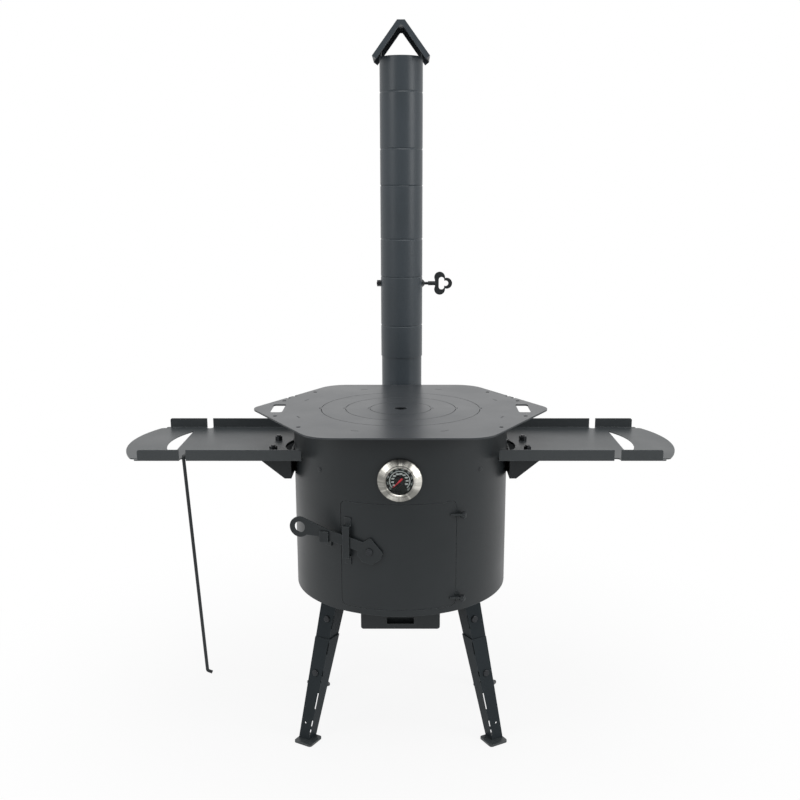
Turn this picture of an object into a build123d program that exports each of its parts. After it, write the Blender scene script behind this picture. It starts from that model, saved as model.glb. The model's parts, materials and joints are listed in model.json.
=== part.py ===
from build123d import *
import os
from math import atan2, cos, degrees, radians, sin, sqrt, tan

# A free-standing sheet-steel stove for a round-bottomed cauldron. A barrel on four bolted legs holds
# the fire, a hexagonal hot plate with lift-out rings lies on it, two side trays are bolted to it,
# a flue duct at the back carries a plug-together chimney with a damper, and an ash drawer hangs below.
# All sizes are millimetres. +Z is up, -Y is the front with the fire door. The shapes are drawn about
# the barrel's axis, and the finished parts are moved so that the origin is the middle of the base.

# Fits and small gaps
weld_gap = 0.2          # between a curved wall and what is welded to it
moving_gap = 0.35       # between a curved wall and what moves past it
slide_gap = 0.8         # around a sliding drawer
kerf = 1.2              # width of a cut between a lift-out ring and its neighbour
past = 1.0              # how far a cutter reaches past what it cuts
same = 0.1              # two places nearer to each other than this are the same place
pin_gap = 0.05          # radial running clearance of a hinge pin or a shaft
bolt_gap = 0.3          # radial clearance of a fastener in its hole

# Barrel
barrel_r = 200.0
barrel_wall = 2.0
barrel_bottom_z = 294.5
barrel_height = 329.5
barrel_top_z = barrel_bottom_z + barrel_height
floor_recess = 4.0
floor_thick = 2.0
floor_under_z = barrel_bottom_z + floor_recess
floor_top_z = floor_under_z + floor_thick
ash_hole_half_x = 55.0
ash_hole_half_y = 85.0
plug_r = 4.0
plug_angle = 45.0
plug_below_top = 77.0
plug_z = barrel_top_z - plug_below_top
plug_proud = 0.8

# Hot plate: a hexagon with rounded corners, two hand grips and eight screw holes
plate_thick = 3.0
plate_overhang = 36.0
plate_half_depth = barrel_r + plate_overhang
plate_tip_overhang = 80.0
plate_tip_x = barrel_r + plate_tip_overhang
plate_rear_corner_x = 148.0
plate_tip_round = 34.0
plate_corner_round = 60.0
grip_inset = 49.5
grip_x = plate_tip_x - grip_inset
grip_width = 23.0
grip_length = 70.0
grip_round = 5.0
plate_hole_r = 4.0
near_hole_inset = 53.0
near_hole_x = plate_tip_x - near_hole_inset
near_hole_y = 68.0
far_hole_x = 175.0
far_hole_y = 156.0
edge_notch_size = 7.0
edge_notch_places = (0.42, 0.50)
plate_top_z = barrel_top_z + plate_thick
tab_count = 8
tab_width = 14.0
tab_gap = 0.4
tab_root = 10.0          # how far a tab's blank reaches past the wall on both sides

# Lift-out rings, from the outside in
ring_radii = (148.5, 103.0, 57.0)
lift_hole_r = 12.0
ear_r = 6.0
ear_reach = 4.0
seat_lug_width = 18.0
seat_lug_reach = 9.0
seat_lug_hold = 9.0
seat_lug_thick = 3.0
seat_lug_count = 4
ring_names = ("ring_outer", "ring_middle", "centre_lid")

# Fire grate
grate_inset = 65.0
grate_r = barrel_r - grate_inset
grate_thick = 4.0
grate_slot_width = 9.0
grate_slot_pitch = 20.0
grate_slot_count = 11
grate_rim = 16.0
grate_slot_least = 2     # a slot is left out where it would be shorter than this many widths

# Fire door, cut from the barrel wall
door_stop_reach = 5.5
door_stop_thick = 2.0
door_stop_lift = 0.5
door_bottom_z = floor_top_z + door_stop_lift + door_stop_reach
door_below_top = 124.0
door_top_z = barrel_top_z - door_below_top
door_left_angle = -31.0
door_right_angle = 29.5
door_gap = 0.9
door_corner_round = 10.0

# Door hinges: a lug on the barrel below, a lug on the door above, a headed pin through both
hinge_angle = 31.8
hinge_stand = 9.0
low_hinge_rise = 13.5
high_hinge_drop = 25.0
hinge_heights = (door_bottom_z + low_hinge_rise, door_top_z - high_hinge_drop)
hinge_pin_r = 3.0
hinge_lug_thick = 3.0
hinge_lug_gap = 0.3
hinge_eye_r = 5.5
hinge_head_r = 4.6
hinge_head_thick = 2.5
hinge_pin_end = 3.0
hinge_pin_chamfer = 0.6
hinge_head_share = 0.4   # the head's edge radius over its height
hinge_door_root = 2.0    # degrees from the door's edge to the lug's root
hinge_barrel_root = 1.0  # degrees from the pin to the other lug's root
hinge_root_bite = 4.0
hinge_arm_share = 1.7    # an arm's width over its eye's radius

# Latch: a flat lever on the door, a strap that guides it and a hook on the barrel
latch_angle = -15.1
latch_rise = 107.5       # from the door's lower edge to the pivot
latch_z = door_bottom_z + latch_rise
lever_thick = 3.0
lever_stand = 1.6
lever_length = 132.5
lever_rise = 15.2
lever_arm_above = 13.0
lever_arm_below = 5.5
lever_arm_near = 15.0
lever_top_taper = 50.0
lever_low_taper = 35.0
lever_neck_low = 11.0
lever_neck_length = 8.0
lever_shield = ((-18.0, 13.5), (-11.0, 16.5), (1.6, 25.5), (24.0, 0.0), (20.0, -12.0), (5.0, -23.5),
                (-12.0, -20.0), (-22.0, -8.0))
lever_shield_round = 4.0
lever_ring_r = 18.6
lever_ring_hole_r = 9.8
latch_bolt_r = 4.0
latch_head_r = 6.5
latch_head_thick = 3.0
latch_head_gap = 0.2
latch_nut_stand = 1.0    # the nut's corners touch the curved door first
latch_stub = 0.5
guide_at = 42.0
guide_width = 12.0
guide_thick = 2.0
guide_above = 41.5       # the strap's room above and below the pivot's height
guide_below = 12.5
guide_foot = 16.0
guide_clear = 1.2
strap_blank = 60.0       # depth of a strap's blank before the barrel cuts it
catch_at = 82.0
catch_width = 16.0
catch_thick = 2.5
catch_clear = 1.5
catch_lip = 17.0
catch_foot = 16.0
catch_foot_turn = 2.0    # degrees that the foot lies behind the hook
latch_rest_gap = 0.3

# Thermometer on the barrel's front
gauge_below_top = 79.0
gauge_z = barrel_top_z - gauge_below_top
gauge_r = 38.0
gauge_ring_r = 28.0
gauge_face_r = 23.5
gauge_stand = 0.6
gauge_flange_depth = 4.0
gauge_depth = 13.0
gauge_back_thick = 1.5
gauge_bevel = 1.0
dial_thick = 1.0
dial_post_r = 1.0
dial_post_below = 1.0
dial_inset = 7.0
glass_thick = 1.6
glass_inset = 1.4
needle_length = 16.0
needle_tail = 6.0
needle_width = 2.2
needle_thick = 0.6
needle_lift = 0.8        # from the dial up to the needle
needle_tip = 0.3
needle_tail_share = 0.7
needle_hub_r = 1.8
needle_direction = 225.0
stem_r = 3.0
stem_length = 70.0
stem_collar = 4.0
stem_under_dial = 1.5
stem_chamfer = 1.2
gauge_nut_r = 8.5
gauge_nut_thick = 5.0
gauge_nut_gap = 0.6

# Ash box and drawer
box_half_width = 70.0
box_front_y = -130.0
box_rear_y = 105.0
box_drop = 54.5
box_bottom_z = barrel_bottom_z - box_drop
box_wall = 1.5
box_flange = 5.0
box_flange_start = 20.0
drawer_wall = 1.2
drawer_front_thick = 2.0
drawer_front_overlap = 2.5
drawer_front_round = 5.0
drawer_height = 42.0
drawer_front_gap = 0.3
drawer_back_gap = 4.0
drawer_top_gap = 1.5
pull_half_width = 25.0
pull_height = 13.0
pull_rise = 16.5
pull_middle_z = box_bottom_z + pull_rise
pull_depth = 14.0
pull_round = 1.5

# Side trays: shallow channels that follow the barrel, with a bowed end and a D-shaped grip
tray_below_top = 65.0
tray_bottom_z = barrel_top_z - tray_below_top
tray_thick = 2.0
tray_half_width = 128.0
tray_barrel_gap = 7.0
tray_lip_height = 20.0
tray_lip_round = 4.0
tray_lip_inset = 25.0    # the lips start this far inside the barrel's side
tray_lip_reach = 265.0   # past the barrel's side, as the tray's other reaches are
tray_reach = 311.0
tray_lip_start_x = barrel_r - tray_lip_inset
tray_lip_end_x = barrel_r + tray_lip_reach
tray_end_x = barrel_r + tray_reach
tray_end_half_width = 118.0
tray_end_round = 240.0
tray_corner_round = 8.0
tray_slit = 3.0
tray_slit_length = 19.0
tray_strip_past = 7.0
tray_strip_round = 4.0
tray_notch_reach = 185.0
tray_notch_x = barrel_r + tray_notch_reach
tray_notch_width = 12.0
tray_notch_depth = 12.0
tray_grip_reach = 211.0
tray_grip_x = barrel_r + tray_grip_reach
tray_grip_half = 91.0
tray_grip_bulge = 27.0
tray_bite_inset = 70.5
tray_bite_x = barrel_r - tray_bite_inset
tray_bite_r = 85.0
tray_bolt_reach = 33.0
tray_bolt_x = barrel_r + tray_bolt_reach
tray_bolt_half = 39.0

# Tray brackets: a shelf, a back plate that touches the barrel, and two cheeks
bracket_y = -21.0
bracket_half_width = 50.0
bracket_length = 65.5
bracket_reach = barrel_r + bracket_length
bracket_thick = 3.0
bracket_drop = 49.0
bracket_toe = 6.0
bracket_heel = 12.3
m8_r = 4.0
m8_nut_flats = 13.0
m8_nut_thick = 8.0
m8_nut_chamfer = 0.7
m8_nut_turn = 20.0
m8_head_thick = 5.3
m8_stub = 2.0

# Legs: an upper and a lower angle, nested and bolted, on a square foot plate
leg_top_inset_x = 85.5   # from the barrel's side to the fold at the leg's top
leg_top_inset_y = 100.0
leg_splay_x = 61.5
leg_splay_y = 19.0
leg_top_x = barrel_r - leg_top_inset_x
leg_top_y = barrel_r - leg_top_inset_y
leg_foot_x = leg_top_x + leg_splay_x
leg_foot_y = leg_top_y + leg_splay_y
leg_arm_top = 37.0
leg_arm_foot = 23.5
leg_turn = 30.0          # from the X axis to the arm that faces the front
leg_thick = 2.0
leg_nest_gap = 0.2
leg_seat_gap = 0.2
leg_lower_top_z = 205.0
leg_upper_bottom_z = 126.0
socket_bottom_z = 228.0
socket_flange_rim = 3.0
socket_flange_round = 4.0
foot_side = 39.0
foot_thick = 4.0
foot_round = 5.0
foot_offset = 7.0        # from the fold to the foot plate's middle
leg_bolt_heights = (136.0, 242.5)
leg_bolt_along = 16.0
leg_bolt_r = 3.0
leg_bolt_end = 2.0
round_head_share = 0.6   # a round head's edge radius over its height
leg_bolt_head_r = 6.5
leg_bolt_head_thick = 3.0
leg_bolt_gap = 0.1
leg_slot_width = 2.4
leg_slots = ((12.0, 25.0), (30.0, 43.0), (65.0, 99.0), (119.0, 124.0), (131.0, 143.0), (175.0, 200.0))
leg_upper_slots = ((225.0, 252.0),)
leg_hole_z = 35.0
leg_hole_r = 2.0
wing_hub_r = 5.5
wing_hub_thick = 6.0
wing_reach = 14.0
wing_thick = 2.0
wing_rise = 8.0
wing_root = 2.0
wing_taper = 2.5

# Flue duct at the back and its spigot
flue_behind_plate = 54.0
flue_y = plate_half_depth + flue_behind_plate
duct_half_width = 50.0
duct_below_top = 24.0
duct_top_z = barrel_top_z - duct_below_top
duct_height = 60.0
duct_bottom_z = duct_top_z - duct_height
duct_wall = 1.5
duct_rear_y = flue_y + duct_half_width
duct_corner_round = 12.0
spigot_wall = 1.2
spigot_flange_r = 48.0
spigot_flange_thick = 1.5

# Chimney pipes, each pushed over the one below
pipe_r = 43.7
pipe_wall = 1.0
pipe_fit_gap = 0.3
narrow_r = pipe_r - pipe_wall - pipe_fit_gap
spigot_r = narrow_r
pipe_rises = (82.0, 169.0, 185.0)    # from the duct's top to the first foot, then from foot to foot
pipe_seats = [duct_top_z + sum(pipe_rises[:i + 1]) for i in range(len(pipe_rises))]
pipe_groove_rises = (66.0, 76.0, 71.0)
top_pipe_length = 247.5
top_groove_drop = 66.5
pipe_top_z = pipe_seats[-1] + top_pipe_length
pipe_top_groove_z = pipe_top_z - top_groove_drop
pipe_insert = 62.0
pipe_shoulder = 3.0
pipe_shoulder_gap = 0.2
groove_depth = 1.1
groove_width = 4.0

# Damper
damper_below_joint = 16.0
damper_z = pipe_seats[1] - damper_below_joint
damper_edge_gap = 2.0
damper_r = narrow_r - pipe_wall - damper_edge_gap
damper_thick = 1.5
damper_fold_share = 0.72
damper_fold_wall = 1.6
shaft_r = 3.0
bush_r = 8.6
bush_tip_r = 4.2
bush_length = 4.5
washer_r = 6.9
washer_thick = 1.5
washer_gap = 0.3
nut_flats = 11.5
nut_thick = 6.0
nut_stub = 0.8
key_start_x = 56.0
key_lobe_r = 11.4
key_side_x = 80.4
key_side_z = 12.6
key_end_x = 95.3
key_thick = 4.0
key_web_x = 70.5
key_hub_wall = 1.4
key_hub_length = 16.0
key_shaft_in = 8.0
key_hole_r = 5.8
key_hole_share = 0.58    # the hole is the same trefoil, smaller by this share
key_hole_shift = 1.8

# Rain cap
cap_rise = 63.5
cap_apex_z = pipe_top_z + cap_rise
cap_half_width = 57.0
cap_drop = 66.0
cap_depth = 104.0
cap_flat = 15.0
cap_thick = 1.5
cap_lip = 10.0
cap_foot_width = 18.0
cap_foot_thick = 1.5
cap_foot_insert = 27.5
cap_foot_low_z = pipe_top_z - cap_foot_insert

# Poker hung in the left tray's front notch
poker_r = 3.0
poker_lean = 23.0
poker_drop = 409.0
poker_foot_x = poker_lean - tray_notch_x
poker_foot_z = tray_bottom_z - poker_drop
poker_hook_reach = 16.0
poker_hook_rise = 0.6
poker_hook_bend = 3.6
poker_toe = 9.0
poker_toe_share = 0.4

os.makedirs("parts", exist_ok=True)
origin_y = ((flue_y + cap_depth / 2) - plate_half_depth) / 2
to_origin = Location((0, -origin_y, 0))
facing_front = Plane(origin=(0, 0, 0), x_dir=(1, 0, 0), z_dir=(0, -1, 0))


def save(node, *solids):
    """Write the pieces of one node, moved to the part's own origin."""
    flat = []
    for solid in solids:
        flat.extend(solid.solids())
    shape = flat[0] if len(flat) == 1 else Compound(flat)
    export_step(shape.moved(to_origin), f"parts/{node}.step")


def upright(radius, low, high, x=0.0, y=0.0):
    """A vertical cylinder between two heights."""
    return Pos(x, y, (low + high) / 2) * Cylinder(radius, high - low)


def tube(outer, inner, low, high, x=0.0, y=0.0):
    return upright(outer, low, high, x, y) - upright(inner, low - past, high + past, x, y)


def block(low, high):
    """A box between two corners."""
    size = [b - a for a, b in zip(low, high)]
    middle = [(a + b) / 2 for a, b in zip(low, high)]
    return Pos(*middle) * Box(*size)


def sheet(outline, low, thick):
    """A flat outline on XY made into a sheet."""
    return Pos(0, 0, low) * extrude(outline, thick)


def on_wall(angle, radius, z):
    """A point on the barrel, with the angle measured from the front towards +X."""
    return Vector(radius * sin(radians(angle)), -radius * cos(radians(angle)), z)


def wall_plane(angle, radius, z):
    """A plane that touches the barrel, its X to the right as seen from outside."""
    a = radians(angle)
    return Plane(origin=on_wall(angle, radius, z), x_dir=(cos(a), sin(a), 0), z_dir=(sin(a), -cos(a), 0))


def side_view(outline, near, thick):
    """A flat outline on XZ, seen from the front, made into a sheet from y = near backwards."""
    return Pos(0, near + thick, 0) * extrude(Plane.XZ * outline, thick)


def hex_prism(flats, thick):
    """A hexagon nut or head standing on z = 0."""
    return extrude(RegularPolygon(flats / 2, 6, major_radius=False), thick)


def post(radius, height):
    """A cylinder standing on z = 0, or hanging from it where the height is negative."""
    return Pos(0, 0, min(height, 0)) * Cylinder(radius, abs(height), align=(
        Align.CENTER, Align.CENTER, Align.MIN))


def bored(shape, radius):
    """The shape with a hole right through along its own Z axis."""
    return shape - Cylinder(radius, 4 * barrel_r)


def radial_rod(angle, z, radius):
    """A rod from the barrel's axis out through its wall."""
    return wall_plane(angle, 0, z) * post(radius, 2 * barrel_r)


def mirrored_x(shape):
    return mirror(shape, about=Plane.YZ)


def mirrored_y(shape):
    return mirror(shape, about=Plane.XZ)


# Barrel

def door_cutter(grow, inner, outer):
    """The door's outline as a curved slab with round corners, wider by grow on every side."""
    middle = (door_left_angle + door_right_angle) / 2
    left = barrel_r * sin(radians(door_left_angle - middle)) - grow
    right = barrel_r * sin(radians(door_right_angle - middle)) + grow
    low = door_bottom_z - grow
    high = door_top_z + grow
    face = Pos((left + right) / 2, (low + high) / 2) * RectangleRounded(
        right - left, high - low, door_corner_round + grow)
    a = radians(middle)
    plane = Plane(origin=(0, 0, 0), x_dir=(cos(a), sin(a), 0), z_dir=(sin(a), -cos(a), 0))
    slab = extrude(plane * face, 2 * barrel_r)
    return slab & tube(outer, inner, low - past, high + past)


def barrel_shell():
    shell = tube(barrel_r, barrel_r - barrel_wall, barrel_bottom_z, barrel_top_z)
    shell -= door_cutter(door_gap, barrel_r - 2 * barrel_wall, barrel_r + barrel_wall)
    # window for the flue gas, behind the duct
    shell -= block((-duct_half_width + duct_wall, 0, duct_bottom_z + duct_wall),
                   (duct_half_width - duct_wall, barrel_r + past, duct_top_z - duct_wall))
    shell -= radial_rod(0, gauge_z, stem_r + bolt_gap)
    # tabs on the top edge that stand in the hot plate's slots
    band = tube(barrel_r, barrel_r - barrel_wall, barrel_top_z, plate_top_z)
    for i in range(tab_count):
        tab = block((-tab_width / 2, barrel_r - barrel_wall - tab_root, barrel_top_z),
                    (tab_width / 2, barrel_r + tab_root, plate_top_z))
        shell += Rot(0, 0, 360 / tab_count * (i + 0.5)) * tab & band
    return shell


def barrel_floor():
    disc = upright(barrel_r - barrel_wall - weld_gap, floor_under_z, floor_top_z)
    hole = block((-ash_hole_half_x, -ash_hole_half_y, floor_under_z - past),
                 (ash_hole_half_x, ash_hole_half_y, floor_top_z + past))
    return disc - hole


def wall_plugs():
    """Two flat plugs that close screw holes in the barrel's shoulders."""
    ring = tube(barrel_r + plug_proud, barrel_r + weld_gap, plug_z - 2 * plug_r, plug_z + 2 * plug_r)
    return [radial_rod(angle, plug_z, plug_r) & ring for angle in (-plug_angle, plug_angle)]


# Hot plate and rings

def hexagon_outline():
    right = [(plate_rear_corner_x, -plate_half_depth), (plate_tip_x, 0),
             (plate_rear_corner_x, plate_half_depth)]
    left = [(-x, -y) for x, y in right]
    face = make_face(Polyline(*right, *left, close=True))
    face = fillet([v for v in face.vertices() if abs(v.X) > plate_rear_corner_x + same], plate_tip_round)
    corners = [v for v in face.vertices() if abs(v.Y) > plate_half_depth - same]
    return fillet(corners, plate_corner_round)


def ring_disc(radius, grow):
    """A round plate with a small ear on each side that locates it."""
    face = Circle(radius + grow)
    for side in (-1, 1):
        face += Pos(side * (radius + ear_reach - ear_r), 0) * Circle(ear_r + grow)
    return face


def hot_plate():
    face = hexagon_outline() - ring_disc(ring_radii[0], kerf / 2)
    for side in (-1, 1):
        face -= Pos(side * grip_x, 0) * RectangleRounded(grip_width, grip_length, grip_round)
        for x, y in ((near_hole_x, near_hole_y), (far_hole_x, far_hole_y)):
            face -= Pos(side * x, y) * Circle(plate_hole_r)
            face -= Pos(side * x, -y) * Circle(plate_hole_r)
        # small hooks' notches on the slanted rear edges
        for share in edge_notch_places:
            x = plate_tip_x + (plate_rear_corner_x - plate_tip_x) * share
            y = plate_half_depth * share
            turn = side * degrees(atan2(plate_half_depth, plate_rear_corner_x - plate_tip_x))
            face -= Pos(side * x, y) * Rot(0, 0, turn) * Rectangle(edge_notch_size, 2 * edge_notch_size)
    plate = sheet(face, barrel_top_z, plate_thick)
    # the tabs are curved, so their corners lie nearer to the middle than their own inner face
    low_r = sqrt((barrel_r - barrel_wall) ** 2 - (tab_width / 2) ** 2) - tab_gap
    for i in range(tab_count):
        slot = block((-tab_width / 2 - tab_gap, low_r, barrel_top_z - past),
                     (tab_width / 2 + tab_gap, barrel_r + tab_gap, plate_top_z + past))
        plate -= Rot(0, 0, 360 / tab_count * (i + 0.5)) * slot
    return plate


def lift_ring(index):
    """One ring, or the middle lid with its lifting hole."""
    outer = ring_radii[index]
    face = ring_disc(outer, -kerf / 2)
    if index + 1 < len(ring_radii):
        face -= ring_disc(ring_radii[index + 1], kerf / 2)
    else:
        face -= Circle(lift_hole_r)
    return sheet(face, barrel_top_z, plate_thick)


def seat_lugs(radius, turn):
    """Lugs welded under a rim, on which the next ring in lies."""
    lugs = []
    for i in range(seat_lug_count):
        lug = block((-seat_lug_width / 2, radius - seat_lug_reach, barrel_top_z - seat_lug_thick),
                    (seat_lug_width / 2, radius + seat_lug_hold, barrel_top_z))
        lugs.append(Rot(0, 0, turn + 360 / seat_lug_count * i) * lug)
    return lugs


def fire_grate():
    face = Circle(grate_r)
    span = (grate_slot_count - 1) / 2
    for i in range(grate_slot_count):
        x = (i - span) * grate_slot_pitch
        half = sqrt((grate_r - grate_rim) ** 2 - x ** 2)
        for side in (-1, 1):
            length = half - grate_rim / 2
            if length > grate_slot_least * grate_slot_width:
                face -= Pos(x, side * (half + grate_rim / 2) / 2) * Rot(0, 0, 90) * SlotOverall(
                    length, grate_slot_width)
    return sheet(face, floor_top_z, grate_thick)


# Fire door and hinges

def door_panel():
    hole = radial_rod(latch_angle, latch_z, latch_bolt_r + bolt_gap)
    return door_cutter(0, barrel_r - barrel_wall, barrel_r) - hole


def door_stop():
    """A frame inside the barrel, against which the shut door rests."""
    outer = barrel_r - barrel_wall - weld_gap
    inner = outer - door_stop_thick
    window = door_cutter(-door_stop_reach, inner - door_stop_thick, outer + door_stop_thick)
    return door_cutter(door_stop_reach, inner, outer) - window


def hinge_point(z):
    return on_wall(hinge_angle, barrel_r + hinge_stand, z)


def hinge_lug(z, on_door):
    """A lug with an eye round the pin. The door's lies on the barrel's."""
    eye = hinge_point(0)
    low = z if on_door else z - hinge_lug_gap - hinge_lug_thick
    root_angle = door_right_angle - hinge_door_root if on_door else hinge_angle + hinge_barrel_root
    along = on_wall(root_angle, barrel_r, 0) - eye
    length = along.length + hinge_root_bite
    arm = Circle(hinge_eye_r) + Pos(length / 2, 0) * Rectangle(length, hinge_arm_share * hinge_eye_r)
    lug = sheet(Pos(eye.X, eye.Y) * Rot(0, 0, degrees(atan2(along.Y, along.X))) * arm, low, hinge_lug_thick)
    gap = moving_gap if on_door else weld_gap
    lug -= upright(barrel_r + gap, low - past, low + hinge_lug_thick + past)
    radius = hinge_pin_r + pin_gap if on_door else hinge_pin_r
    return lug - upright(radius, low - past, low + hinge_lug_thick + past, eye.X, eye.Y)


def hinge_pin(z):
    eye = hinge_point(0)
    low = z - hinge_lug_gap - hinge_lug_thick - hinge_pin_end
    head_low = z + hinge_lug_thick + hinge_lug_gap
    pin = upright(hinge_pin_r, low, head_low, eye.X, eye.Y)
    pin = chamfer(pin.edges().group_by(Axis.Z)[0], hinge_pin_chamfer)
    head = upright(hinge_head_r, head_low, head_low + hinge_head_thick, eye.X, eye.Y)
    return pin + fillet(head.edges().group_by(Axis.Z)[-1], hinge_head_thick * hinge_head_share)


# Latch. Its plane touches the door at the pivot, with X to the right and Y up.

latch_plane = wall_plane(latch_angle, barrel_r + lever_stand, latch_z)
lever_front = lever_stand + lever_thick


def lever_outline():
    """An arm with a ring at its left end, turned to its rest slope, and a shield round the pivot."""
    taper_top = lever_top_taper - lever_length
    taper_low = lever_low_taper - lever_length
    neck = lever_neck_length - lever_length
    arm = make_face(Polyline((-lever_length, lever_ring_r), (taper_top, lever_arm_above),
                             (-lever_arm_near, lever_arm_above), (-lever_arm_near, -lever_arm_below),
                             (taper_low, -lever_arm_below), (neck, -lever_neck_low),
                             (-lever_length, -lever_neck_low), close=True))
    arm += Pos(-lever_length, 0) * Circle(lever_ring_r)
    arm -= Pos(-lever_length, 0) * Circle(lever_ring_hole_r)
    shield = make_face(Polyline(*lever_shield, close=True))
    shield = fillet(shield.vertices(), lever_shield_round)
    return Rot(0, 0, -lever_rise) * arm + shield - Circle(latch_bolt_r + pin_gap)


def latch_lever():
    return latch_plane * extrude(lever_outline(), lever_thick)


def latch_bolt():
    """Round-headed bolt through the lever, a spacer washer, the door and a nut inside."""
    low = -barrel_wall - latch_nut_stand - m8_nut_thick - latch_stub
    high = lever_front + latch_head_gap
    head = round_head(latch_head_r, latch_head_thick)
    bolt = Pos(0, 0, low) * post(latch_bolt_r, high - low) + Pos(0, 0, high) * head
    return wall_plane(latch_angle, barrel_r, latch_z) * bolt


def round_head(radius, thick):
    """A low round head standing on z = 0."""
    head = post(radius, thick)
    return fillet(head.edges().group_by(Axis.Z)[-1], thick * round_head_share)


def latch_washer():
    """The spacer between the curved door and the flat lever."""
    ring = Pos(0, 0, weld_gap) * post(latch_head_r, lever_stand - 2 * weld_gap)
    return wall_plane(latch_angle, barrel_r, latch_z) * bored(ring, latch_bolt_r + weld_gap)


def latch_nut():
    nut = Pos(0, 0, -latch_nut_stand - m8_nut_thick) * hex_prism(m8_nut_flats, m8_nut_thick)
    return wall_plane(latch_angle, barrel_r - barrel_wall, latch_z) * bored(nut, latch_bolt_r + weld_gap)


def latch_guide():
    """A strap bent over the lever, with both feet on the door."""
    front = lever_thick + guide_clear
    top = guide_above
    low = -guide_below
    t = guide_thick
    deep = strap_blank
    strap = block((-guide_width / 2, low - t, -deep), (guide_width / 2, top + t, front + t))
    strap -= block((-guide_width, low, -deep - past), (guide_width, top, front))
    strap = latch_plane * Pos(-guide_at, 0) * strap
    angle = guide_wall_angle()
    feet = wall_plane(angle, 0, latch_z) * (
        block((-guide_width / 2, top, 0), (guide_width / 2, top + guide_foot, 2 * barrel_r))
        + block((-guide_width / 2, low - guide_foot, 0), (guide_width / 2, low, 2 * barrel_r)))
    skin = tube(barrel_r + weld_gap + t, barrel_r + weld_gap, door_bottom_z, door_top_z)
    strap -= upright(barrel_r + weld_gap, door_bottom_z, door_top_z)
    return strap + (feet & skin)


def guide_wall_angle():
    origin = (latch_plane * Pos(-guide_at, 0, 0)).position
    return degrees(atan2(origin.X, -origin.Y))


def lever_height(along):
    """Height over the pivot of the lever's lower edge, at a distance to the left of the pivot."""
    slope = radians(lever_rise)
    return along * tan(slope) - lever_arm_below / cos(slope)


def latch_catch():
    """A hook on the barrel: a foot, a shelf under the lever and a lip in front of it."""
    shelf_top = lever_height(catch_at - catch_width / 2) - latch_rest_gap
    front = lever_thick + catch_clear
    t = catch_thick
    deep = strap_blank
    half = catch_width / 2
    shelf = block((-half, shelf_top - t, -deep), (half, shelf_top, front + t))
    lip = block((-half, shelf_top - t, front), (half, shelf_top + catch_lip, front + t))
    hook = latch_plane * Pos(-catch_at, 0) * (shelf + lip)
    angle = catch_wall_angle()
    foot = wall_plane(angle, 0, latch_z) * block(
        (-half, shelf_top - catch_foot, 0), (half, shelf_top, 2 * barrel_r))
    skin = tube(barrel_r + weld_gap + t, barrel_r + weld_gap, door_bottom_z, door_top_z)
    hook -= upright(barrel_r + weld_gap, door_bottom_z, door_top_z)
    return hook + (foot & skin)


def catch_wall_angle():
    origin = (latch_plane * Pos(-catch_at, 0, 0)).position
    return degrees(atan2(origin.X, -origin.Y)) - catch_foot_turn


# Thermometer, drawn about its own axis with +Z out of the barrel

gauge_plane = wall_plane(0, barrel_r + gauge_stand, gauge_z)
dial_top = gauge_depth - dial_inset
glass_low = gauge_depth - glass_inset - glass_thick


def gauge_bezel():
    """Pressed ring with a sloped flange, and the cup behind the dial."""
    b = gauge_bevel
    profile = Polyline((0, 0), (gauge_r - b, 0), (gauge_r, b), (gauge_r, gauge_flange_depth),
                       (gauge_r - b, gauge_flange_depth + b), (gauge_ring_r, gauge_depth - b),
                       (gauge_ring_r - b, gauge_depth), (gauge_face_r + b, gauge_depth),
                       (gauge_face_r, gauge_depth - b), (gauge_face_r, gauge_back_thick),
                       (0, gauge_back_thick), close=True)
    return gauge_plane * bored(revolve(make_face(Plane.XZ * profile), Axis.Z), stem_r + weld_gap)


def gauge_dial():
    dial = Pos(0, 0, dial_top - dial_thick) * post(gauge_face_r - weld_gap, dial_thick)
    return gauge_plane * bored(dial, dial_post_r + pin_gap)


def gauge_needle():
    half = needle_width / 2
    tail = needle_width * needle_tail_share
    body = Polyline((needle_length, needle_tip), (0, half), (-needle_tail, tail), (-needle_tail, -tail),
                    (0, -half), (needle_length, -needle_tip), close=True)
    low = dial_top + needle_lift
    needle = Pos(0, 0, low) * extrude(make_face(body) + Circle(needle_hub_r), needle_thick)
    post_low = dial_top - dial_thick - dial_post_below
    needle += Pos(0, 0, post_low) * post(dial_post_r, low - post_low)
    return gauge_plane * Rot(0, 0, needle_direction) * needle


def gauge_glass():
    return gauge_plane * Pos(0, 0, glass_low) * post(gauge_face_r - weld_gap, glass_thick)


def gauge_stem():
    """The probe: it stands in the cup, passes the barrel wall and ends in the fire room."""
    top = dial_top - dial_thick - stem_under_dial
    low = gauge_back_thick + weld_gap
    stem = Pos(0, 0, top) * post(stem_r, -stem_length)
    stem = chamfer(stem.edges().group_by(Axis.Z)[0], stem_chamfer)
    return gauge_plane * (stem + Pos(0, 0, low) * post(stem_r + stem_collar, top - low))


def gauge_nut():
    inside = -gauge_stand - barrel_wall - gauge_nut_gap
    nut = Pos(0, 0, inside - gauge_nut_thick) * hex_prism(2 * gauge_nut_r, gauge_nut_thick)
    return gauge_plane * bored(nut, stem_r + weld_gap)


# Ash box

def ash_box():
    """A folded case under the floor, open in front and at the top, with a flange on each side."""
    w = box_wall
    top = floor_under_z
    case = block((-box_half_width, box_front_y, box_bottom_z), (box_half_width, box_rear_y, top))
    case -= block((-box_half_width + w, box_front_y - past, box_bottom_z + w),
                  (box_half_width - w, box_rear_y - w, top + past))
    flange = block((box_half_width - w, box_front_y + box_flange_start, top - w),
                   (box_half_width + box_flange, box_rear_y, top))
    return case + flange + mirrored_x(flange)


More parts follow.
